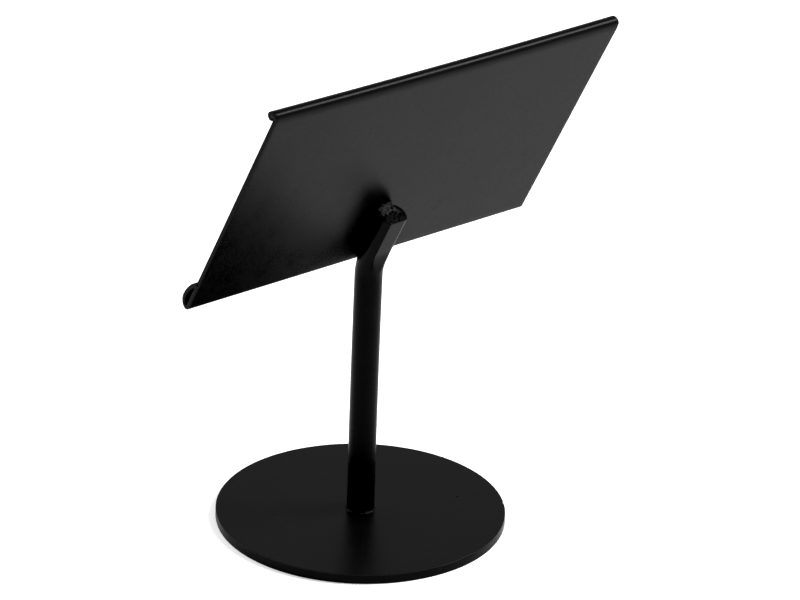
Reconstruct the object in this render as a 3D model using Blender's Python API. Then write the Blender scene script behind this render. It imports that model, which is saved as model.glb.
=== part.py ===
"""Welded steel sign stand: a round base, a bent round post and a folded card plate.

Metres, +Z up. The origin is the centre of the base's underside. The plate's plain
back and the post are on the +Y side, and the sign looks towards -Y and upwards.
"""
import math

import bmesh
import bpy
from mathutils import Vector

MM = 0.001

# Pieces that touch on the real stand keep this clearance.
GAP = 0.3 * MM

# Faces that meet at less than SMOOTH_ANGLE are shaded as one, and edges sharper than
# EDGE_ANGLE are eased, both in degrees.
SMOOTH_ANGLE = 30.0
EDGE_ANGLE = 50.0

# Base: a flat round plate with a slightly eased edge.
BASE_RADIUS = 50.8 * MM
BASE_THICKNESS = 3.4 * MM
BASE_EDGE = 0.25 * MM
BASE_SIDES = 96

# Post: a 3/8 inch round rod. Its two straight runs would meet at BEND_HEIGHT. The lower
# run stands almost upright, and both runs lean towards +Y.
ROD_RADIUS = 4.7625 * MM
POST_LEAN = math.radians(0.67)
BEND_HEIGHT = 97.0 * MM
BEND_ANGLE = math.radians(28.7)
BEND_RADIUS = 20.0 * MM
UPPER_LENGTH = 26.2 * MM
ROD_SIDES = 40
BEND_STEPS = 16

# The flat lies on the inner side of the bend. It begins and is full at these parts
# of the bend's sweep, counted upwards.
FLAT_DISTANCE = 3.3 * MM
FLAT_BEGINS = 0.42
FLAT_FULL = 0.9

# Card plate: one sheet, folded towards the sign at its top and bottom edges. Its lower
# edge hangs below the corner of the post's axes by PLATE_DROP. All the radii are to the
# outside of the sheet.
PLATE_WIDTH = 147.5 * MM
PLATE_HEIGHT = 96.0 * MM
PLATE_DROP = 2.9 * MM
SHEET = 1.5 * MM
SHEET_EDGE = 0.15 * MM

# Top edge: a quarter turn, a narrow flat top, then a curl back towards the sheet.
TURN_RADIUS = 1.8 * MM
TOP_FLAT = 1.05 * MM
CURL_SWEEP = math.radians(180.0)
TURN_STEPS = 6
CURL_STEPS = 12

# Bottom edge: a half turn, a short straight, then a lip that closes towards the sheet.
HOOK_RADIUS = 2.57 * MM
HOOK_STRAIGHT = 1.9 * MM
HOOK_LIP_RADIUS = 13.5 * MM
HOOK_LIP_SWEEP = math.radians(32.0)
HOOK_STEPS = 12
LIP_STEPS = 6

# Weld beads.
FOOT_WELD_LEG = 0.55 * MM
FOOT_WELD_CROWN = 0.6
FOOT_WELD_STEPS = 48
TOP_WELD_LENGTH = 7.6 * MM
TOP_WELD_HEIGHT = 1.7 * MM
TOP_WELD_DEPTH = 1.3 * MM
TOP_WELD_SHOULDER = (0.75, 0.6)
BOTTOM_WELD_LENGTH = 4.2 * MM
BOTTOM_WELD_TOP = math.radians(0.0)
BOTTOM_WELD_SWEEP = math.radians(35.0)
BOTTOM_WELD_STEPS = 4
WELD_BEADS = 4
WELD_WAIST = 0.22
WELD_TIP = 0.25
WELD_STATIONS = 17

# Finish: satin black powder coat, and the same coat over the rougher weld metal.
COAT_COLOUR = (0.017, 0.017, 0.018)
COAT_ROUGHNESS = 0.34
WELD_ROUGHNESS = 0.5


def clear_scene():
    """Start from an empty scene."""
    for item in list(bpy.data.objects):
        bpy.data.objects.remove(item, do_unlink=True)


def coat_material(name, roughness):
    """A plain coated-metal material."""
    material = bpy.data.materials.new(name)
    material.use_nodes = True
    shader = material.node_tree.nodes["Principled BSDF"]
    shader.inputs["Base Color"].default_value = (*COAT_COLOUR, 1.0)
    shader.inputs["Roughness"].default_value = roughness
    shader.inputs["Metallic"].default_value = 0.0
    return material


def add_object(name, mesh_data, material, parent=None):
    """Turn a bmesh into a named object with its own material, shaded smooth."""
    bmesh.ops.recalc_face_normals(mesh_data, faces=mesh_data.faces)
    mesh = bpy.data.meshes.new(name)
    mesh_data.to_mesh(mesh)
    mesh_data.free()
    mesh.materials.append(material)
    mesh.shade_smooth()
    mesh.set_sharp_from_angle(angle=math.radians(SMOOTH_ANGLE))
    item = bpy.data.objects.new(name, mesh)
    bpy.context.scene.collection.objects.link(item)
    item.parent = parent
    return item


def add_bevel(item, width, segments=1):
    """Ease the square edges of an object."""
    bevel = item.modifiers.new("eased_edges", "BEVEL")
    bevel.width = width
    bevel.segments = segments
    bevel.limit_method = "ANGLE"
    bevel.angle_limit = math.radians(EDGE_ANGLE)


def skin_rings(rings, closed=False):
    """Join rings of points, all of one length, into a closed body."""
    body = bmesh.new()
    loops = [[body.verts.new(point) for point in ring] for ring in rings]
    count = len(loops[0])
    pairs = list(zip(loops, loops[1:]))
    if closed:
        pairs.append((loops[-1], loops[0]))
    else:
        body.faces.new(reversed(loops[0]))
        body.faces.new(loops[-1])
    for lower, upper in pairs:
        for i in range(count):
            j = (i + 1) % count
            body.faces.new((lower[i], lower[j], upper[j], upper[i]))
    return body


def arc(centre, radius, start, end, steps):
    """Points along a circular arc in a (y, z) plane, angles in radians."""
    points = []
    for i in range(steps + 1):
        angle = start + (end - start) * i / steps
        y = centre[0] + radius * math.cos(angle)
        z = centre[1] + radius * math.sin(angle)
        points.append((y, z))
    return points


def make_base():
    """The round base plate."""
    body = bmesh.new()
    bmesh.ops.create_cone(
        body,
        cap_ends=True,
        segments=BASE_SIDES,
        radius1=BASE_RADIUS,
        radius2=BASE_RADIUS,
        depth=BASE_THICKNESS,
    )
    base = add_object("base_disc", body, coat_material("base_coat", COAT_ROUGHNESS))
    base.location.z = BASE_THICKNESS / 2
    add_bevel(base, BASE_EDGE, segments=2)
    return base


def directions(lean):
    """The rod's direction where it leans by an angle, and the side it leans towards."""
    along = Vector((0, math.sin(lean), math.cos(lean)))
    inward = Vector((0, math.cos(lean), -math.sin(lean)))
    return along, inward


def bend_corner():
    """The point where the axes of the post's two runs meet."""
    rise = BEND_HEIGHT - BASE_THICKNESS
    return Vector((0, rise * math.tan(POST_LEAN), BEND_HEIGHT))


def post_stations():
    """Stations along the post: centre, lean and half the angle that its flat spans."""
    corner = bend_corner()
    along, inward = directions(POST_LEAN)
    setback = BEND_RADIUS * math.tan((BEND_ANGLE - POST_LEAN) / 2)
    arc_centre = corner - along * setback + inward * BEND_RADIUS
    full_flat = math.acos(FLAT_DISTANCE / ROD_RADIUS)
    no_flat = math.pi / ROD_SIDES
    stations = [(Vector((0, 0, BASE_THICKNESS + GAP)), 0.0, no_flat)]
    for i in range(BEND_STEPS + 1):
        part = i / BEND_STEPS
        lean = POST_LEAN + (BEND_ANGLE - POST_LEAN) * part
        along, inward = directions(lean)
        depth = (part - FLAT_BEGINS) / (FLAT_FULL - FLAT_BEGINS)
        depth = min(1.0, max(0.0, depth))
        half_flat = no_flat + (full_flat - no_flat) * math.sqrt(depth)
        stations.append((arc_centre - inward * BEND_RADIUS, lean, half_flat))
    stations.append((corner + along * UPPER_LENGTH, BEND_ANGLE, full_flat))
    return stations


def make_post():
    """The bent rod, with its flat on the inner side of the bend."""
    rings = []
    for centre, lean, half_flat in post_stations():
        inward = directions(lean)[1]
        sideways = Vector((1, 0, 0))
        ring = []
        for i in range(ROD_SIDES):
            angle = half_flat + i * 2 * (math.pi - half_flat) / (ROD_SIDES - 1)
            offset = inward * math.cos(angle) + sideways * math.sin(angle)
            ring.append(centre + offset * ROD_RADIUS)
        rings.append(ring)
    return add_object("post", skin_rings(rings), coat_material("post_coat", COAT_ROUGHNESS))


def make_plate_frame():
    """An empty at the corner of the post's axes, tilted with the plate.

    Its Z runs up the plate, its Y out of the plate's back, and its X along the width.
    """
    frame = bpy.data.objects.new("plate_frame", None)
    bpy.context.scene.collection.objects.link(frame)
    frame.location = bend_corner()
    frame.rotation_euler.x = -BEND_ANGLE
    return frame


def plate_profile():
    """The middle line of the folded sheet, from the hook's tip to the curl's tip."""
    inset = SHEET / 2
    back = -(ROD_RADIUS + GAP)
    lip_y = back - 2 * HOOK_RADIUS + HOOK_LIP_RADIUS
    lip_z = HOOK_RADIUS + HOOK_STRAIGHT
    lip_start = math.pi - HOOK_LIP_SWEEP
    lip = arc((lip_y, lip_z), HOOK_LIP_RADIUS - inset, lip_start, math.pi, LIP_STEPS)
    hook_centre = (back - HOOK_RADIUS, HOOK_RADIUS)
    hook = arc(hook_centre, HOOK_RADIUS - inset, math.pi, 2 * math.pi, HOOK_STEPS)
    turn_centre = (back - TURN_RADIUS, PLATE_HEIGHT - TURN_RADIUS)
    turn = arc(turn_centre, TURN_RADIUS - inset, 0, math.pi / 2, TURN_STEPS)
    curl_centre = (turn_centre[0] - TOP_FLAT, turn_centre[1])
    curl_end = math.pi / 2 + CURL_SWEEP
    curl = arc(curl_centre, TURN_RADIUS - inset, math.pi / 2, curl_end, CURL_STEPS)
    return lip + hook + turn + curl


def make_card_plate(frame):
    """The folded sheet: a strip along the profile, thickened evenly."""
    strip = bmesh.new()
    half = PLATE_WIDTH / 2
    line = [strip.verts.new((-half, y, z)) for y, z in plate_profile()]
    edges = [strip.edges.new(pair) for pair in zip(line, line[1:])]
    grown = bmesh.ops.extrude_edge_only(strip, edges=edges)
    far_side = [part for part in grown["geom"] if isinstance(part, bmesh.types.BMVert)]
    bmesh.ops.translate(strip, verts=far_side, vec=(PLATE_WIDTH, 0, 0))
    coat = coat_material("plate_coat", COAT_ROUGHNESS)
    plate = add_object("card_plate", strip, coat, parent=frame)
    plate.location.z = -PLATE_DROP
    thickness = plate.modifiers.new("sheet", "SOLIDIFY")
    thickness.thickness = SHEET
    thickness.offset = 0.0
    thickness.use_even_offset = True
    add_bevel(plate, SHEET_EDGE)
    return plate


def make_foot_weld():
    """A small fillet ring at the foot of the post."""
    inner = ROD_RADIUS + GAP
    floor = BASE_THICKNESS + GAP
    crown = FOOT_WELD_LEG * FOOT_WELD_CROWN
    section = [
        (inner, floor),
        (inner + FOOT_WELD_LEG, floor),
        (inner + crown, floor + crown),
        (inner, floor + FOOT_WELD_LEG),
    ]
    rings = []
    for i in range(FOOT_WELD_STEPS):
        turn = 2 * math.pi * i / FOOT_WELD_STEPS
        ring = [(r * math.cos(turn), r * math.sin(turn), z) for r, z in section]
        rings.append(ring)
    body = skin_rings(rings, closed=True)
    return add_object("foot_weld", body, coat_material("foot_weld_coat", WELD_ROUGHNESS))


def bead_rings(length, section):
    """Rings of a lumpy weld bead along X.

    section(size) gives the bead's (y, z) outline where it is size times full.
    """
    rings = []
    for i in range(WELD_STATIONS):
        part = i / (WELD_STATIONS - 1)
        dome = math.sqrt(max(0.0, 1 - (2 * part - 1) ** 2))
        ripple = 1 - WELD_WAIST * math.sin(math.pi * WELD_BEADS * part) ** 2
        size = WELD_TIP + (1 - WELD_TIP) * dome * ripple
        x = (part - 0.5) * length
        rings.append([(x, y, z) for y, z in section(size)])
    return rings


def make_top_weld(frame):
    """The bead over the rod's end, against the plate's back."""
    face = -ROD_RADIUS
    end = UPPER_LENGTH + GAP
    shoulder_y, shoulder_z = TOP_WELD_SHOULDER

    def section(size):
        depth = TOP_WELD_DEPTH * size
        height = TOP_WELD_HEIGHT * size
        outline = [(face, end), (face + depth, end)]
        outline.append((face + depth * shoulder_y, end + height * shoulder_z))
        outline.append((face, end + height))
        return outline

    body = skin_rings(bead_rings(TOP_WELD_LENGTH, section))
    coat = coat_material("top_weld_coat", WELD_ROUGHNESS)
    return add_object("plate_weld_top", body, coat, parent=frame)


def make_bottom_weld(frame):
    """The bead in the groove between the plate's lower fold and the rod."""
    fold_y = -(ROD_RADIUS + GAP + HOOK_RADIUS)
    reach = HOOK_RADIUS + GAP
    bend_end = BEND_RADIUS * math.tan((BEND_ANGLE - POST_LEAN) / 2)
    rod_bend = BEND_RADIUS + ROD_RADIUS

    def rod_side(z):
        sag = rod_bend - math.sqrt(rod_bend**2 - (bend_end - z) ** 2)
        return (sag - ROD_RADIUS - GAP, z)

    def section(size):
        bottom = BOTTOM_WELD_TOP - BOTTOM_WELD_SWEEP * size
        fold = (fold_y, HOOK_RADIUS - PLATE_DROP)
        outline = arc(fold, reach, BOTTOM_WELD_TOP, bottom, BOTTOM_WELD_STEPS)
        outline.append(rod_side(outline[-1][1]))
        outline.append(rod_side(outline[0][1]))
        return outline

    body = skin_rings(bead_rings(BOTTOM_WELD_LENGTH, section))
    coat = coat_material("bottom_weld_coat", WELD_ROUGHNESS)
    return add_object("plate_weld_bottom", body, coat, parent=frame)


clear_scene()
make_base()
make_post()
make_foot_weld()
plate_frame = make_plate_frame()
make_card_plate(plate_frame)
make_top_weld(plate_frame)
make_bottom_weld(plate_frame)
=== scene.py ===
"""Looks of the welded steel sign stand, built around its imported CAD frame.

Metres, +Z up, in the frame's own coordinates. The plate's plain back and the post are
on the +Y side, and the sign looks towards -Y and upwards. The plate has coordinates
of its own: x along its width, y out of its plain back and z up along the sheet, from
the corner where the post's two straight runs would meet.
"""
import math

import bmesh
import bpy
from mathutils import Matrix, Vector, noise


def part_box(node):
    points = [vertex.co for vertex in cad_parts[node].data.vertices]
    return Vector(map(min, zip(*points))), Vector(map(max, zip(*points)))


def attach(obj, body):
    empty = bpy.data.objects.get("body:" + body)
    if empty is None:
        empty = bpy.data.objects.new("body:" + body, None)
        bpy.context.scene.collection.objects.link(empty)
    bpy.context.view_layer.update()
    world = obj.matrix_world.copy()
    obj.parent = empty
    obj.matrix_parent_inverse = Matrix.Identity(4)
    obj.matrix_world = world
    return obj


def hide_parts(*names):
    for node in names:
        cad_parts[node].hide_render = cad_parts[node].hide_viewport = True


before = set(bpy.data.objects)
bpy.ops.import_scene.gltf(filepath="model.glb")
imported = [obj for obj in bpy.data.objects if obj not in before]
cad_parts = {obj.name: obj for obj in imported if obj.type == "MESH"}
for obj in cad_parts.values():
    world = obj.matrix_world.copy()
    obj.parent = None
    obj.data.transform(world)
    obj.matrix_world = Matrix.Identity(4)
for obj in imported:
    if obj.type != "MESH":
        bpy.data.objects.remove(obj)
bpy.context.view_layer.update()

MM = 0.001
BODY = "root"

# Driving sizes, read from the frame.
base_low, base_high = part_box("base_disc")
BASE_RADIUS = (base_high.x - base_low.x) / 2
BASE_TOP = base_high.z
post_low, post_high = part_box("post")
ROD_RADIUS = (post_high.x - post_low.x) / 2
plate_low, plate_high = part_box("card_plate")
PLATE_WIDTH = plate_high.x - plate_low.x

# Sizes that the frame's boxes don't give, as in the part.
GAP = 0.3 * MM
POST_LEAN = math.radians(0.67)
TILT = math.radians(28.7)
BEND_HEIGHT = 97.0 * MM
BEND_RADIUS = 20.0 * MM
UPPER_LENGTH = 26.2 * MM
PLATE_HEIGHT = 96.0 * MM
PLATE_DROP = 2.9 * MM
SHEET = 1.5 * MM
PLATE_BACK = -(ROD_RADIUS + GAP)

BEND_CORNER = Vector((0, (BEND_HEIGHT - BASE_TOP) * math.tan(POST_LEAN), BEND_HEIGHT))
PLATE_MATRIX = Matrix.Translation(BEND_CORNER) @ Matrix.Rotation(-TILT, 4, "X")


# ---------------------------------------------------------------- mesh helpers

SMOOTH_ANGLE = math.radians(40.0)
NIB_HEIGHT = 0.35
SEED_STEP = Vector((1.0, 1.7, 2.3))


def finish_piece(name, body, replaced, materials, matrix=None):
    """Turn a bmesh into a piece that stands for a CAD node and rides on the body."""
    if matrix is not None:
        body.transform(matrix)
    bmesh.ops.recalc_face_normals(body, faces=body.faces)
    mesh = bpy.data.meshes.new(name)
    body.to_mesh(mesh)
    body.free()
    for material in materials:
        mesh.materials.append(material)
    mesh.shade_smooth()
    mesh.set_sharp_from_angle(angle=SMOOTH_ANGLE)
    piece = bpy.data.objects.new(name, mesh)
    bpy.context.scene.collection.objects.link(piece)
    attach(piece, BODY)
    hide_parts(replaced)


def add_rings(body, rings, closed=False):
    """Add loops of points of one length and join each to the next, or all in a circle."""
    loops = [[body.verts.new(point) for point in ring] for ring in rings]
    following = loops[1:] + loops[:1] if closed else loops[1:]
    count = len(loops[0])
    for lower, upper in zip(loops, following):
        for i in range(count):
            j = (i + 1) % count
            body.faces.new((lower[i], lower[j], upper[j], upper[i]))
    return loops


def close_with_fan(body, loop, point):
    """Close a loop with triangles to one point."""
    centre = body.verts.new(point)
    for i, vert in enumerate(loop):
        body.faces.new((vert, loop[(i + 1) % len(loop)], centre))


def add_nib(body, place, outward, radius):
    """A low dome on a surface: a grain caught under the coat."""
    made = bmesh.ops.create_icosphere(body, subdivisions=3, radius=1.0)
    for vert in made["verts"]:
        up = vert.co.dot(outward)
        flat = vert.co - outward * up
        vert.co = Vector(place) + (flat + outward * up * NIB_HEIGHT) * radius


def wave(point, size, seed=0.0):
    """Smooth noise from -1 to 1 whose features are about one size across."""
    return noise.noise(Vector(point) / size + SEED_STEP * seed)


def unevenness(point, waves):
    """The sum of a few waves at a point, each a depth, a size and a seed."""
    return sum(depth * wave(point, size, seed) for depth, size, seed in waves)


def spread(start, end, steps):
    """Evenly spaced values from start to end."""
    return [start + (end - start) * i / steps for i in range(steps + 1)]


# ---------------------------------------------------------------- node helpers

def new_material(name):
    """A material with its nodes, links and shader."""
    material = bpy.data.materials.new(name)
    material.use_nodes = True
    nodes = material.node_tree.nodes
    return material, nodes, material.node_tree.links, nodes["Principled BSDF"]


def noise_node(nodes, links, place, size, detail, rough=0.5):
    """A noise texture whose features are about one size across."""
    texture = nodes.new("ShaderNodeTexNoise")
    texture.inputs["Scale"].default_value = 1.0 / size
    texture.inputs["Detail"].default_value = detail
    texture.inputs["Roughness"].default_value = rough
    links.new(place, texture.inputs["Vector"])
    return texture.outputs["Fac"]


def remap(nodes, links, value, source, target=(0.0, 1.0)):
    """Map a value from one range to another, clamped."""
    node = nodes.new("ShaderNodeMapRange")
    links.new(value, node.inputs["Value"])
    for key, number in zip(("From Min", "From Max", "To Min", "To Max"), source + target):
        node.inputs[key].default_value = number
    return node.outputs["Result"]


def math_node(nodes, links, operation, first, second):
    """A math node on two sockets."""
    node = nodes.new("ShaderNodeMath")
    node.operation = operation
    links.new(first, node.inputs[0])
    links.new(second, node.inputs[1])
    return node.outputs[0]


def mix_colour(nodes, links, factor, first, second):
    """Mix two colours, each a tuple or a socket."""
    node = nodes.new("ShaderNodeMix")
    node.data_type = "RGBA"
    links.new(factor, node.inputs["Factor"])
    for key, value in (("A", first), ("B", second)):
        socket = [s for s in node.inputs if s.name == key and s.type == "RGBA"][0]
        if isinstance(value, tuple):
            socket.default_value = (*value, 1.0)
        else:
            links.new(value, socket)
    return [s for s in node.outputs if s.type == "RGBA"][0]


def bump_node(nodes, links, height, distance, strength, normal=None):
    """A bump from a height socket, on top of an earlier one if given."""
    node = nodes.new("ShaderNodeBump")
    node.inputs["Distance"].default_value = distance
    node.inputs["Strength"].default_value = strength
    links.new(height, node.inputs["Height"])
    if normal is not None:
        links.new(normal, node.inputs["Normal"])
    return node.outputs["Normal"]


# ---------------------------------------------------------------- materials

# The coat's colours, its gloss, and its roughness with the mottling and with the grain.
COAT_DARK = (0.0018, 0.0018, 0.0020)
COAT_LIGHT = (0.0032, 0.0031, 0.0031)
COAT_WORN = (0.022, 0.021, 0.020)
COAT_SPECULAR = 0.033
COAT_ROUGH = (0.26, 0.32)
GRAIN_ROUGH = 0.05

# How large its features are, and how deep and strong its bumps.
PEEL_SIZE = 0.9 * MM
PEEL_DEPTH = 0.040 * MM
PEEL_STRENGTH = 0.6
GRAIN_SIZE = 0.28 * MM
GRAIN_DEPTH = 0.012 * MM
GRAIN_STRENGTH = 0.5
MOTTLE_SIZE = 14.0 * MM
DUST_SIZE = 0.55 * MM

# The stretch of each noise over which its effect goes from none to full.
CLOUD_SHOWS = (0.35, 0.7)
DUST_SHOWS = (0.74, 0.80)
RUB_SHOWS = (0.4, 0.62)
ROUGH_SHOWS = (0.3, 0.7)

# Lighter tones of the sawn end and the foot bead, in finer patches. The top and bottom beads' far
# lighter tone is a painted highlight for the glints on their lumps.
END_LIGHT = (0.012, 0.012, 0.012)
WELD_PAINTED_HIGHLIGHT = (0.150, 0.145, 0.140)
FOOT_LIGHT = (0.012, 0.012, 0.012)
END_PATCH = 0.7 * MM

FLOOR_TONES = ((0.90, 0.90, 0.90), (0.92, 0.92, 0.92))
FLOOR_PATCH = 0.35
FLOOR_ROUGH = 0.9
FLOOR_SPECULAR = 0.1
FLOOR_GLOW = 0.34
WHITE = (1.0, 1.0, 1.0, 1.0)


def powder_coat(name, peel=1.0, rough_shift=0.0, light=COAT_LIGHT, patch=MOTTLE_SIZE):
    """Black powder coat: orange peel, fine grain, mottling, dust and rubbed edges; where a far lighter
    tone is given, as for the beads, the mottling is a painted highlight.
    """
    material, nodes, links, shader = new_material(name)
    place = nodes.new("ShaderNodeTexCoord").outputs["Object"]
    mottle = noise_node(nodes, links, place, patch, detail=4.0, rough=0.6)
    peel_height = noise_node(nodes, links, place, PEEL_SIZE, detail=2.0)
    grain = noise_node(nodes, links, place, GRAIN_SIZE, detail=3.0, rough=0.65)
    dust = noise_node(nodes, links, place, DUST_SIZE, detail=1.0)
    specks = remap(nodes, links, dust, DUST_SHOWS)
    cloud = remap(nodes, links, mottle, CLOUD_SHOWS)
    rubbed = nodes.new("ShaderNodeAttribute")
    rubbed.attribute_name = "rubbed"
    edge_noise = remap(nodes, links, grain, RUB_SHOWS)
    edge = math_node(nodes, links, "MULTIPLY", rubbed.outputs["Fac"], edge_noise)
    tone = math_node(nodes, links, "MULTIPLY", cloud, grain)
    colour = mix_colour(nodes, links, tone, COAT_DARK, light)
    marks = math_node(nodes, links, "MAXIMUM", edge, specks)
    colour = mix_colour(nodes, links, marks, colour, COAT_WORN)
    links.new(colour, shader.inputs["Base Color"])
    rough_range = tuple(value + rough_shift for value in COAT_ROUGH)
    rough = remap(nodes, links, mottle, ROUGH_SHOWS, rough_range)
    fine = remap(nodes, links, grain, ROUGH_SHOWS, (-GRAIN_ROUGH, GRAIN_ROUGH))
    rough = math_node(nodes, links, "ADD", rough, fine)
    links.new(rough, shader.inputs["Roughness"])
    normal = bump_node(nodes, links, peel_height, PEEL_DEPTH, PEEL_STRENGTH * peel)
    normal = bump_node(nodes, links, grain, GRAIN_DEPTH, GRAIN_STRENGTH * peel, normal)
    links.new(normal, shader.inputs["Normal"])
    shader.inputs["Specular IOR Level"].default_value = COAT_SPECULAR
    shader.inputs["Metallic"].default_value = 0.0
    return material


def floor_material():
    """Matt pale paper with the faintest tone and a faint glow."""
    material, nodes, links, shader = new_material("pale_floor")
    place = nodes.new("ShaderNodeTexCoord").outputs["Object"]
    cloud = noise_node(nodes, links, place, FLOOR_PATCH, detail=2.0)
    colour = mix_colour(nodes, links, cloud, *FLOOR_TONES)
    links.new(colour, shader.inputs["Base Color"])
    shader.inputs["Roughness"].default_value = FLOOR_ROUGH
    shader.inputs["Specular IOR Level"].default_value = FLOOR_SPECULAR
    shader.inputs["Emission Color"].default_value = WHITE
    shader.inputs["Emission Strength"].default_value = FLOOR_GLOW
    return material


# ---------------------------------------------------------------- base

BASE_TURNS = 360
RIM_EASE = 0.25 * MM

# Where the rings of the disc's faces lie: the innermost, and the others by how far they
# are in from the rim.
HUB_RING = 2.0 * MM
TOP_RINGS_END = 2.0 * MM
RIM_RING = 1.0 * MM
UNDER_RING = 4.0 * MM

# The rim's unevenness, as waves, and how far out it begins. It only ever cuts inwards.
RIM_WAVES = ((0.05 * MM, 3.0 * MM, 0.0), (0.06 * MM, 11.0 * MM, 3.0))
RIM_BEGINS = BASE_RADIUS - RIM_EASE * 1.01

# Nicks in the rim's top edge: angle and spread in degrees, and depth. Then how far down
# they reach, how deep one is where it is rubbed bare, and how far the edge drops in one,
# as a share of its depth.
RIM_NICKS = (
    (6.7, 0.5, 0.25 * MM),
    (95.0, 0.7, 0.22 * MM),
    (98.0, 1.6, 0.3 * MM),
    (147.9, 0.6, 0.5 * MM),
)
NICK_HEIGHT = 0.9 * MM
NICK_SHOWS = 0.15 * MM
NICK_DROP = 0.3

# Grains caught under the coat, each a low dome: x, y and radius, in mm.
BASE_NIBS = ((-32.8, 13.7, 0.45), (17.0, 22.0, 0.3), (-12.0, -30.0, 0.35), (28.0, -14.0, 0.3))


def nick_depth(turn, height):
    """How deep the rim is nicked at an angle and a height."""
    low = (BASE_TOP - height) / NICK_HEIGHT
    if low > 1:
        return 0.0
    degrees = math.degrees(turn)
    depths = [deep * math.exp(-(((degrees - at) / wide) ** 2)) for at, wide, deep in RIM_NICKS]
    return sum(depths) * (1 - low)


def nick_rub(turn, height, value):
    """How rubbed the rim is: a nick rubs only the top edge, which is rubbed already."""
    if value <= 0:
        return value
    return max(value, min(1.0, nick_depth(turn, height) / NICK_SHOWS))


def base_profile():
    """The disc's turned outline, as (radius, height, rubbed), from the top's middle."""
    profile = []
    for radius in spread(HUB_RING, BASE_RADIUS - TOP_RINGS_END, steps=24):
        profile.append((radius, BASE_TOP, 0.0))
    profile.append((BASE_RADIUS - RIM_RING, BASE_TOP, 0.0))
    inner = BASE_RADIUS - RIM_EASE
    for angle in spread(math.pi / 2, 0, steps=6):
        height = BASE_TOP - RIM_EASE + RIM_EASE * math.sin(angle)
        profile.append((inner + RIM_EASE * math.cos(angle), height, math.sin(2 * angle)))
    for height in spread(BASE_TOP - RIM_RING, RIM_RING, steps=3):
        profile.append((BASE_RADIUS, height, 0.0))
    for angle in spread(0, -math.pi / 2, steps=5):
        height = RIM_EASE + RIM_EASE * math.sin(angle)
        profile.append((inner + RIM_EASE * math.cos(angle), height, 0.0))
    profile.append((BASE_RADIUS - UNDER_RING, 0.0, 0.0))
    profile.append((HUB_RING, 0.0, 0.0))
    return profile


def base_ring(radius, height):
    """One ring of the disc's surface, uneven and nicked where it is on the rim."""
    ring = []
    for i in range(BASE_TURNS):
        turn = 2 * math.pi * i / BASE_TURNS
        point = Vector((radius * math.cos(turn), radius * math.sin(turn), height))
        if radius > RIM_BEGINS:
            pull = max(0.0, unevenness(point, RIM_WAVES))
            nick = nick_depth(turn, height)
            point.xy = point.xy * (1 - (pull + nick) / radius)
            point.z -= NICK_DROP * nick
        ring.append(point)
    return ring


def make_base(material):
    """The round base: a sawn and deburred disc, slightly uneven along its rim."""
    body = bmesh.new()
    rubbed = body.verts.layers.float.new("rubbed")
    profile = base_profile()
    loops = add_rings(body, [base_ring(radius, height) for radius, height, value in profile])
    for loop, (radius, height, value) in zip(loops, profile):
        for i, vert in enumerate(loop):
            vert[rubbed] = nick_rub(2 * math.pi * i / BASE_TURNS, vert.co.z, value)
    close_with_fan(body, loops[0], (0, 0, BASE_TOP))
    close_with_fan(body, loops[-1], (0, 0, 0))
    for x, y, size in BASE_NIBS:
        add_nib(body, (x * MM, y * MM, BASE_TOP), Vector((0, 0, 1)), size * MM)
    finish_piece("base_plate", body, "base_disc", [material])


# ---------------------------------------------------------------- post

POST_TURNS = 128
COAT_THICKNESS = 0.12 * MM
ROD_OUTSIDE = ROD_RADIUS + COAT_THICKNESS

# The lower run starts slightly sunk into the base, as a share of its rise, and bows as
# it rises, so that it leans most where the bend begins. The upper run stands aside.
FOOT_SHARE = -0.001
BOW_SHARE = 0.95
LEAN_AT_BEND = 2 * POST_LEAN * BOW_SHARE
UPPER_ASIDE = Vector((0.3 * MM, 0, 0))

# The flat on the bend's inner side: how far it is from the rod's middle, and at which
# parts of the bend's sweep it begins and is full, the last of them past the bend.
FLAT_DISTANCE = 3.4 * MM
FLAT_BEGINS = 0.42
FLAT_FULL = 1.5
FLAT_CUT = ROD_OUTSIDE - FLAT_DISTANCE

# How rounded the flat's two corners are, how rounded both are where the flat fades out,
# and the least that they ever are. The flat stops where the cosine of the angle from its
# middle is down to its reach.
SHARP_CORNER = 0.08 * MM
SOFT_CORNER = 0.55 * MM
FADING_CORNER = 0.6 * MM
LEAST_CORNER = 0.001 * MM
FLAT_REACH = 0.05

# The sawn end: its eased edge, the scales of its outer and inner ring, how far it is
# sunk, and its roughness as waves.
END_EASE = 0.2 * MM
END_SCALES = (0.96, 0.06)
END_SUNK = 0.05 * MM
END_WAVES = ((0.14 * MM, 0.9 * MM, 0.0), (0.14 * MM, 0.4 * MM, 5.0))


def soft_min(first, second, blend):
    """The smaller of two values, rounded off where they are close."""
    share = min(1.0, max(0.0, 0.5 + 0.5 * (second - first) / blend))
    return second + (first - second) * share - blend * share * (1 - share)


def rod_radius_at(angle, cut):
    """The rod's radius at an angle from the flat's middle, where the flat is cut so far."""
    toward = math.cos(angle)
    if toward <= FLAT_REACH or cut <= 0:
        return ROD_OUTSIDE
    share = cut / FLAT_CUT
    full = SOFT_CORNER if math.sin(angle) < 0 else SHARP_CORNER
    blend = full * share + FADING_CORNER * math.sqrt(share) * (1 - share)
    return soft_min(ROD_OUTSIDE, (ROD_OUTSIDE - cut) / toward, blend + LEAST_CORNER)


def ease(value):
    """A smooth step from 0 to 1."""
    value = min(1.0, max(0.0, value))
    return value * value * (3 - 2 * value)


def flat_cut(part):
    """How deep the flat is cut, at a part of the bend's sweep."""
    return FLAT_CUT * ease((part - FLAT_BEGINS) / (FLAT_FULL - FLAT_BEGINS))


def directions(lean):
    """The rod's direction where it leans by an angle, and the side it leans towards."""
    along = Vector((0, math.sin(lean), math.cos(lean)))
    inward = Vector((0, math.cos(lean), -math.sin(lean)))
    return along, inward


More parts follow.
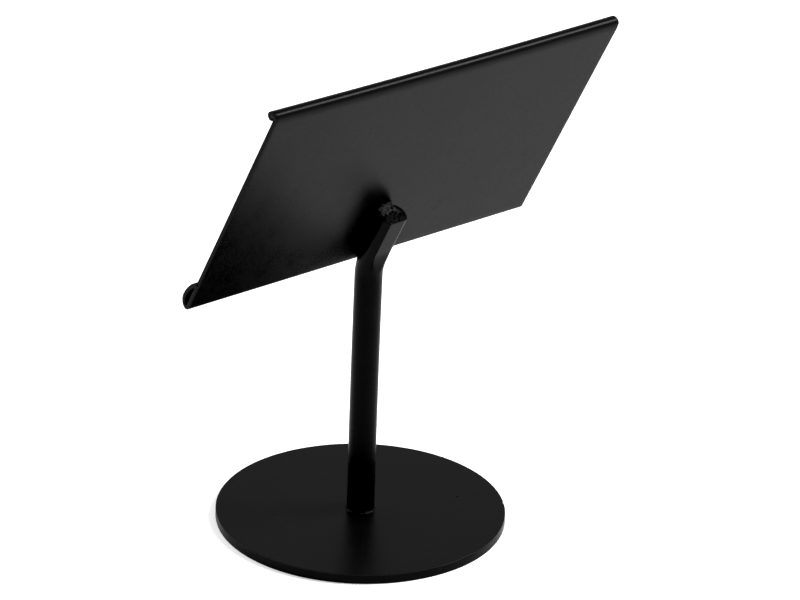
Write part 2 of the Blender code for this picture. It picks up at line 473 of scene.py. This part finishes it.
def post_stations():
    """Stations along the post: centre, lean and depth of the flat's cut."""
    sweep = TILT - LEAN_AT_BEND
    setback = BEND_RADIUS * math.tan(sweep / 2)
    along, inward = directions(LEAN_AT_BEND)
    arc_start = BEND_CORNER - along * setback
    arc_centre = arc_start + inward * BEND_RADIUS
    rise = arc_start.z - BASE_TOP
    stations = []
    for share in spread(FOOT_SHARE, 1.0, steps=40)[:-1]:
        centre = Vector((0, arc_start.y * share**2, BASE_TOP + rise * share))
        stations.append((centre, LEAN_AT_BEND * max(0.0, share), 0.0))
    for part in spread(0.0, 1.0, steps=48):
        lean = LEAN_AT_BEND + sweep * part
        centre = arc_centre - directions(lean)[1] * BEND_RADIUS + UPPER_ASIDE * ease(part)
        stations.append((centre, lean, flat_cut(part)))
    along = directions(TILT)[0]
    for length in spread(setback, UPPER_LENGTH - END_EASE, steps=40)[1:]:
        part = 1 + (length - setback) / (BEND_RADIUS * sweep)
        stations.append((BEND_CORNER + UPPER_ASIDE + along * length, TILT, flat_cut(part)))
    return stations


def rod_ring(centre, lean, cut, inset=0.0, scale=1.0):
    """One ring of points round the rod."""
    inward = directions(lean)[1]
    sideways = Vector((1, 0, 0))
    ring = []
    for i in range(POST_TURNS):
        angle = 2 * math.pi * i / POST_TURNS
        radius = (rod_radius_at(angle, cut) - inset) * scale
        ring.append(centre + (inward * math.cos(angle) + sideways * math.sin(angle)) * radius)
    return ring


def sawn_ring(centre, along, scale):
    """One ring of the rough sawn end."""
    ring = []
    for point in rod_ring(centre, TILT, FLAT_CUT, END_EASE, scale):
        ring.append(point + along * (unevenness(point, END_WAVES) - END_SUNK))
    return ring


def make_post(material, end_material):
    """The bent rod, with its flat and its rough sawn end."""
    body = bmesh.new()
    stations = post_stations()
    rings = [rod_ring(centre, lean, cut) for centre, lean, cut in stations]
    along = directions(TILT)[0]
    end = stations[-1][0]
    for angle in spread(0, math.pi / 2, steps=4)[1:]:
        centre = end + along * END_EASE * math.sin(angle)
        rings.append(rod_ring(centre, TILT, FLAT_CUT, END_EASE * (1 - math.cos(angle))))
    smooth_count = len(rings)
    top = end + along * END_EASE
    rings += [sawn_ring(top, along, scale) for scale in spread(*END_SCALES, steps=22)]
    loops = add_rings(body, rings)
    close_with_fan(body, loops[0], stations[0][0])
    close_with_fan(body, loops[-1], top)
    end_verts = {vert for loop in loops[smooth_count:] for vert in loop}
    for face in body.faces:
        if any(vert in end_verts for vert in face.verts):
            face.material_index = 1
    finish_piece("post_rod", body, "post", [material, end_material])


# ---------------------------------------------------------------- card plate

# How the sheet's cut edge is rounded, and in how many steps.
EDGE_ROUND = 0.22 * MM
EDGE_STEPS = 4

# The sheet's bends, each a sweep, a radius of its middle line and a number of steps.
# The fold goes up from the plain sheet and eases in from flat over its lead. The hook
# goes down from it and round to its lip, which ends pressed into the sheet.
FOLD_LEAD = 3.2 * MM
FOLD_LEAD_SWEEP = math.radians(13.0)
FOLD_LEAD_STEPS = 12
FOLD_RUNS = (
    (math.radians(66.0), 0.86 * MM, 14),
    (math.radians(72.0), 1.95 * MM, 16),
    (math.radians(174.0), 0.88 * MM, 24),
)
HOOK_RUNS = (
    (math.radians(90.0), 1.10 * MM, 12),
    (math.radians(45.0), 1.62 * MM, 8),
    (math.radians(45.0), 4.00 * MM, 10),
    (math.radians(40.4), 14.25 * MM, 16),
)

# How far the fold stands above the plate's height, and the hook above its lower edge.
FOLD_RISE = 1.05 * MM
HOOK_RISE = 0.38 * MM

# The curl's filled core: its radius, and its place from the back's top edge.
CORE_RADIUS = 0.83 * MM
CORE_PLACE = (-2.62 * MM, -2.15 * MM)

# How far in from the sheet's ends its evenly spaced stations begin.
END_BAND = 1.5 * MM

# The sheet isn't quite flat, its top edge sags, and it stands aside and low.
SHEET_BOW = 0.05 * MM
BOW_SIZE = 45.0 * MM
TOP_SAG = 0.7 * MM
PLATE_ASIDE = 0.2 * MM
PLATE_SETTLE = 0.33 * MM

# Grains under the plate's coat, on its back and its front: x, z and radius, in mm.
PLATE_NIBS = (
    (-5.5, 69.4, 0.4),
    (-59.9, 33.7, 0.4),
    (-27.4, 21.2, 0.4),
    (-26.7, 17.1, 0.35),
    (38.0, 52.0, 0.3),
)
FRONT_NIBS = ((22.0, 40.0, 0.35), (-41.0, 63.0, 0.3), (-8.0, 28.0, 0.3))


def bent_path(moves):
    """A middle line upwards from (0, 0), each point with its outward normal."""
    y, z, angle = 0.0, 0.0, 0.0
    points = [(y, z, 1.0, 0.0)]
    for length, turn in moves:
        middle = angle + turn / 2
        y -= length * math.sin(middle)
        z += length * math.cos(middle)
        angle += turn
        points.append((y, z, math.cos(angle), math.sin(angle)))
    return points


def run_moves(runs):
    """The short moves, each a length and a turn, that make up a row of bends."""
    moves = []
    for sweep, radius, steps in runs:
        moves += [(radius * sweep / steps, sweep / steps)] * steps
    return moves


def lead_moves():
    """The fold's lead, each move turning more than the last."""
    moves = []
    for i in range(FOLD_LEAD_STEPS):
        share = (2 * i + 1) / FOLD_LEAD_STEPS**2
        moves.append((FOLD_LEAD / FOLD_LEAD_STEPS, FOLD_LEAD_SWEEP * share))
    return moves


def plate_path():
    """The folded sheet's middle line, from the hook's tip to the curl's tip."""
    inset = SHEET / 2
    middle = PLATE_BACK - inset
    fold = bent_path(lead_moves() + run_moves(FOLD_RUNS))
    hook = bent_path(run_moves(HOOK_RUNS))[::-1]
    flat_low = HOOK_RISE + inset + HOOK_RUNS[0][1]
    flat_high = PLATE_HEIGHT + FOLD_RISE - inset - max(point[1] for point in fold)
    hook = [(middle + y, flat_low - z, ny, -nz) for y, z, ny, nz in hook]
    flat = [(middle, z, 1.0, 0.0) for z in spread(flat_low, flat_high, steps=36)[1:-1]]
    fold = [(middle + y, flat_high + z, ny, nz) for y, z, ny, nz in fold]
    return hook + flat + fold


def tip_corner(point, sign, half, reach):
    """Points round the sheet's cut edge, from its outer side to its inner side."""
    y, z, ny, nz = point
    ty, tz = -nz * sign, ny * sign
    turns = [(1, angle) for angle in spread(0, math.pi / 2, EDGE_STEPS)[1:]]
    turns += [(-1, angle) for angle in spread(math.pi / 2, 0, EDGE_STEPS)[:-1]]
    corner = []
    for side, angle in turns:
        across = side * (half - EDGE_ROUND + EDGE_ROUND * math.cos(angle))
        along = reach * math.sin(angle)
        corner.append((y + ny * across + ty * along, z + nz * across + tz * along))
    return corner


def settle_sheet(x, y, z):
    """A point of the sheet, moved by its slight bow and the sag of its top edge."""
    up = min(1.0, max(0.0, z / PLATE_HEIGHT))
    across = 1 - (2 * x / PLATE_WIDTH) ** 2
    bow = SHEET_BOW * wave((x, 0, z), BOW_SIZE)
    return Vector((x, y + bow, z - TOP_SAG * across * up**3))


def sheet_ring(path, x, half, reach):
    """One closed outline of the sheet at x."""
    outer = [(y + ny * half, z + nz * half) for y, z, ny, nz in path]
    inner = [(y - ny * half, z - nz * half) for y, z, ny, nz in path]
    top = tip_corner(path[-1], 1, half, reach)
    bottom = tip_corner(path[0], -1, half, reach)
    outline = outer + top + inner[::-1] + bottom[::-1]
    return [settle_sheet(x, y, z) for y, z in outline]


def plate_stations():
    """Stations across the sheet: x, how far its outline is drawn in, and how rubbed."""
    edge = PLATE_WIDTH / 2
    ends = []
    for angle in spread(math.pi / 2, 0, EDGE_STEPS):
        x = edge - EDGE_ROUND + EDGE_ROUND * math.sin(angle)
        ends.append((x, EDGE_ROUND * (1 - math.cos(angle)), math.sin(2 * angle)))
    middle = [(x, 0.0, 0.0) for x in spread(END_BAND - edge, edge - END_BAND, steps=60)]
    left = [(-x, shrink, value) for x, shrink, value in ends]
    return left + middle + ends[::-1]


def close_sheet_end(body, loop, count):
    """Close one end of the sheet, between the two sides of its outline."""
    caps = 2 * EDGE_STEPS
    outer = loop[:count]
    inner = loop[count + caps:2 * count + caps][::-1]
    for i in range(count - 1):
        body.faces.new((outer[i], outer[i + 1], inner[i + 1], inner[i]))
    body.faces.new(loop[count - 1:count + caps + 1])
    body.faces.new(loop[2 * count + caps - 1:] + [loop[0]])


def add_core(body):
    """The curl's core, which the coat has filled: a thin rod with rounded ends."""
    length = PLATE_WIDTH / 2 - CORE_RADIUS
    made = bmesh.ops.create_icosphere(body, subdivisions=4, radius=CORE_RADIUS)
    for vert in made["verts"]:
        vert.co.x += math.copysign(length, vert.co.x)
        vert.co.y += PLATE_BACK + CORE_PLACE[0]
        vert.co.z += PLATE_HEIGHT + FOLD_RISE + CORE_PLACE[1]
    return set(made["verts"])


def make_plate(material, core_painted_highlight):
    """The folded sheet that carries the card."""
    body = bmesh.new()
    rubbed = body.verts.layers.float.new("rubbed")
    path = plate_path()
    stations = plate_stations()
    rings = []
    for x, shrink, value in stations:
        rings.append(sheet_ring(path, x, SHEET / 2 - shrink, EDGE_ROUND - shrink))
    loops = add_rings(body, rings)
    for loop, (x, shrink, value) in zip(loops, stations):
        for vert in loop:
            vert[rubbed] = value
    close_sheet_end(body, loops[0], len(path))
    close_sheet_end(body, loops[-1], len(path))
    for x, z, size in PLATE_NIBS:
        add_nib(body, (x * MM, PLATE_BACK, z * MM), Vector((0, 1, 0)), size * MM)
    for x, z, size in FRONT_NIBS:
        add_nib(body, (x * MM, PLATE_BACK - SHEET, z * MM), Vector((0, -1, 0)), size * MM)
    # The core takes the beads' lighter coat: a painted highlight on the curl's end.
    core = add_core(body)
    for face in body.faces:
        if face.verts[0] in core:
            face.material_index = 1
    matrix = PLATE_MATRIX @ Matrix.Translation((-PLATE_ASIDE, 0, -PLATE_DROP - PLATE_SETTLE))
    materials = [material, core_painted_highlight]
    finish_piece("sign_plate", body, "card_plate", materials, matrix)


# ---------------------------------------------------------------- welds

# The foot's bead: its mean leg and the leg's unevenness as waves round a ring, how
# hollow its face is, and how far it runs into the post and the base.
FOOT_TURNS = 200
FOOT_LEG = 0.65 * MM
FOOT_WAVES = ((0.27 * MM, 1.8 * MM, 2.0), (0.15 * MM, 0.8 * MM, 9.0))
FOOT_WAVE_RING = 6.0 * MM
FOOT_HOLLOW = 0.75
FOOT_IN_POST = 0.2 * MM
FOOT_IN_BASE = 0.05 * MM

# A lump's coarse and fine waves: their sizes against the lump's own, how deep the fine
# ones are against the coarse ones, and the steps between seeds.
LUMP_COARSE = 0.8
LUMP_FINE = 0.3
LUMP_FINE_SHARE = 0.4
FINE_SEED_STEP = 4.0
LUMP_SEED_STEP = 3.0

# Lumps of the top bead, in mm: x, distance out from the rod's plate side, height over
# the rod's end, and size as a share of the radii.
TOP_LUMPS = (
    (-1.6, 0.1, -0.1, 0.85),
    (0.1, 0.5, 0.1, 1.05),
    (1.7, 1.0, 0.1, 1.1),
    (3.2, 1.7, 0.0, 1.05),
    (0.7, 2.3, -0.1, 0.85),
    (2.4, 3.0, -0.1, 0.8),
    (4.0, 3.3, -0.5, 0.8),
    (-1.2, 2.6, -0.1, 0.8),
    (-2.1, 3.7, -0.2, 0.6),
)
TOP_LUMP_RADII = (1.25, 1.3, 0.8)
TOP_ROUGH = 0.22

# Lumps of the bottom bead: their span in x, how far they stand out from the plate, their
# height, radii, roughness and first seed.
BOTTOM_SPAN = (-1.2 * MM, 0.6 * MM)
BOTTOM_OUT = 0.4 * MM
BOTTOM_HEIGHT = -0.7 * MM
BOTTOM_LUMP_RADII = (0.9 * MM, 0.75 * MM, 0.8 * MM)
BOTTOM_ROUGH = 0.2
BOTTOM_SEED = 20.0


def foot_face():
    """The foot bead's hollow face as shares of its leg, from the base to the post."""
    face = [(1.0, 0.0)]
    for angle in spread(0, math.pi / 2, steps=7)[1:-1]:
        out = 1 - FOOT_HOLLOW * math.sin(angle)
        up = 1 - FOOT_HOLLOW * math.cos(angle)
        face.append((out, up))
    return face + [(0.0, 1.0)]


def make_foot_weld(material):
    """The uneven fillet between the post and the base."""
    body = bmesh.new()
    rings = []
    for i in range(FOOT_TURNS):
        turn = 2 * math.pi * i / FOOT_TURNS
        direction = Vector((math.cos(turn), math.sin(turn), 0))
        leg = FOOT_LEG + unevenness(direction * FOOT_WAVE_RING, FOOT_WAVES)
        outline = [(leg * out, leg * up) for out, up in foot_face()]
        outline += [(-FOOT_IN_POST, leg), (-FOOT_IN_POST, -FOOT_IN_BASE), (leg, -FOOT_IN_BASE)]
        ring = []
        for out, up in outline:
            ring.append(direction * (ROD_RADIUS + out) + Vector((0, 0, BASE_TOP + up)))
        rings.append(ring)
    add_rings(body, rings, closed=True)
    finish_piece("foot_bead", body, "foot_weld", [material])


def weld_lump(body, centre, radii, seed, rough):
    """One rounded, uneven lump of weld metal."""
    made = bmesh.ops.create_icosphere(body, subdivisions=5, radius=1.0)
    waves = ((rough, LUMP_COARSE, seed), (LUMP_FINE_SHARE * rough, LUMP_FINE, seed + FINE_SEED_STEP))
    for vert in made["verts"]:
        direction = vert.co.copy()
        swell = 1 + unevenness(direction, waves)
        vert.co = Vector(centre) + Vector([c * r * swell for c, r in zip(direction, radii)])


def make_top_weld(material):
    """The bead over the rod's end: overlapping lumps against the plate."""
    body = bmesh.new()
    for i, (x, y, z, size) in enumerate(TOP_LUMPS):
        centre = (x * MM, y * MM - ROD_RADIUS, z * MM + UPPER_LENGTH)
        radii = [radius * MM * size for radius in TOP_LUMP_RADII]
        weld_lump(body, centre, radii, LUMP_SEED_STEP * i, TOP_ROUGH)
    finish_piece("top_bead", body, "plate_weld_top", [material], PLATE_MATRIX)


def make_bottom_weld(material):
    """The bead in the groove between the plate's lower fold and the rod."""
    body = bmesh.new()
    for i, x in enumerate(spread(*BOTTOM_SPAN, steps=3)):
        centre = (x, PLATE_BACK + BOTTOM_OUT, BOTTOM_HEIGHT)
        seed = BOTTOM_SEED + LUMP_SEED_STEP * i
        weld_lump(body, centre, BOTTOM_LUMP_RADII, seed, BOTTOM_ROUGH)
    finish_piece("bottom_bead", body, "plate_weld_bottom", [material], PLATE_MATRIX)


# ---------------------------------------------------------------- stage

FLOOR_HALF = 2.5

# Each softbox: direction, distance, width, height and radiance. All look at one point.
SOFTBOXES = {
    "key_softbox": ((-0.59, 0.31, 0.75), 1.5, 0.5, 0.5, 41.0),
    "top_softbox": ((0.0, -0.15, 1.0), 1.5, 1.6, 1.6, 0.25),
    "back_softbox": ((-0.59, -0.69, 0.40), 2.0, 1.6, 1.2, 0.55),
    "fill_softbox": ((-0.59, 0.70, 0.36), 1.8, 1.3, 1.0, 1.6),
    "front_softbox": ((0.1, -0.79, 0.61), 1.8, 1.0, 0.7, 4.6),
    "side_softbox": ((0.60, -0.67, 0.42), 1.8, 0.8, 0.7, 4.0),
}
LIGHT_AIM = Vector((0, 0, 0.09))

# How bright the surround is, and the faintest tone, which shows as black.
WORLD_GREY = 0.30
BLACK_LEVEL = 0.0034

CAMERA_AZIMUTH = math.radians(139.535)
CAMERA_ELEVATION = math.radians(24.397)
CAMERA_ROLL = math.radians(1.715)
CAMERA_DISTANCE = 1529.1 * MM
CAMERA_AIM = Vector((-8.883, 7.577, 83.663)) * MM
CAMERA_LENS = 200.51
CAMERA_SENSOR = 36.0
CAMERA_REACH = 20.0


def make_floor():
    """A plain pale floor."""
    body = bmesh.new()
    bmesh.ops.create_grid(body, x_segments=1, y_segments=1, size=FLOOR_HALF)
    mesh = bpy.data.meshes.new("floor")
    body.to_mesh(mesh)
    body.free()
    mesh.materials.append(floor_material())
    floor = bpy.data.objects.new("floor", mesh)
    bpy.context.scene.collection.objects.link(floor)


def add_softbox(name, direction, distance, width, height, radiance):
    """A rectangular area light that looks at the stand from a direction."""
    light = bpy.data.lights.new(name, "AREA")
    light.shape = "RECTANGLE"
    light.size = width
    light.size_y = height
    light.energy = radiance * math.pi * width * height
    box = bpy.data.objects.new(name, light)
    bpy.context.scene.collection.objects.link(box)
    toward = Vector(direction).normalized()
    box.location = LIGHT_AIM + toward * distance
    box.rotation_euler = toward.to_track_quat("Z", "Y").to_euler()


def make_light():
    """Plain soft studio light: softboxes all round and above, and a grey surround."""
    world = bpy.data.worlds.new("studio")
    world.use_nodes = True
    background = world.node_tree.nodes["Background"]
    background.inputs["Color"].default_value = WHITE
    background.inputs["Strength"].default_value = WORLD_GREY
    bpy.context.scene.world = world
    for name, box in SOFTBOXES.items():
        add_softbox(name, *box)


def make_camera():
    """A long lens at the viewing angle, with a slight roll."""
    level = Vector((math.cos(CAMERA_AZIMUTH), math.sin(CAMERA_AZIMUTH), 0))
    behind = Vector((math.sin(CAMERA_AZIMUTH), -math.cos(CAMERA_AZIMUTH), 0))
    back = behind * math.cos(CAMERA_ELEVATION) + Vector((0, 0, math.sin(CAMERA_ELEVATION)))
    upright = back.cross(level)
    right = level * math.cos(CAMERA_ROLL) + upright * math.sin(CAMERA_ROLL)
    up = upright * math.cos(CAMERA_ROLL) - level * math.sin(CAMERA_ROLL)
    turn = Matrix((right, up, back)).transposed().to_4x4()
    data = bpy.data.cameras.new("camera")
    data.lens = CAMERA_LENS
    data.sensor_width = CAMERA_SENSOR
    data.clip_end = CAMERA_REACH
    camera = bpy.data.objects.new("camera", data)
    bpy.context.scene.collection.objects.link(camera)
    camera.matrix_world = Matrix.Translation(CAMERA_AIM + back * CAMERA_DISTANCE) @ turn
    bpy.context.scene.camera = camera


def set_tones():
    """Plain tones, with the faintest of them taken down to black."""
    view = bpy.context.scene.view_settings
    view.view_transform = "Standard"
    view.use_curve_mapping = True
    view.curve_mapping.black_level = (BLACK_LEVEL, BLACK_LEVEL, BLACK_LEVEL)
    view.curve_mapping.update()


coat = powder_coat("powder_coat")
base_coat = powder_coat("base_coat", rough_shift=0.05)
end_coat = powder_coat("sawn_end_coat", peel=2.0, rough_shift=0.05, light=END_LIGHT, patch=END_PATCH)
# The beads' coat: its far lighter mottled tone is a painted highlight on the lumps.
weld_coat = powder_coat("weld_coat", peel=1.6, rough_shift=0.03, light=WELD_PAINTED_HIGHLIGHT, patch=END_PATCH)
foot_coat = powder_coat("foot_weld_coat", peel=1.6, rough_shift=0.12, light=FOOT_LIGHT, patch=END_PATCH)
make_base(base_coat)
make_post(coat, end_coat)
make_plate(coat, weld_coat)
make_foot_weld(foot_coat)
make_top_weld(weld_coat)
make_bottom_weld(weld_coat)
make_floor()
make_light()
make_camera()
set_tones()
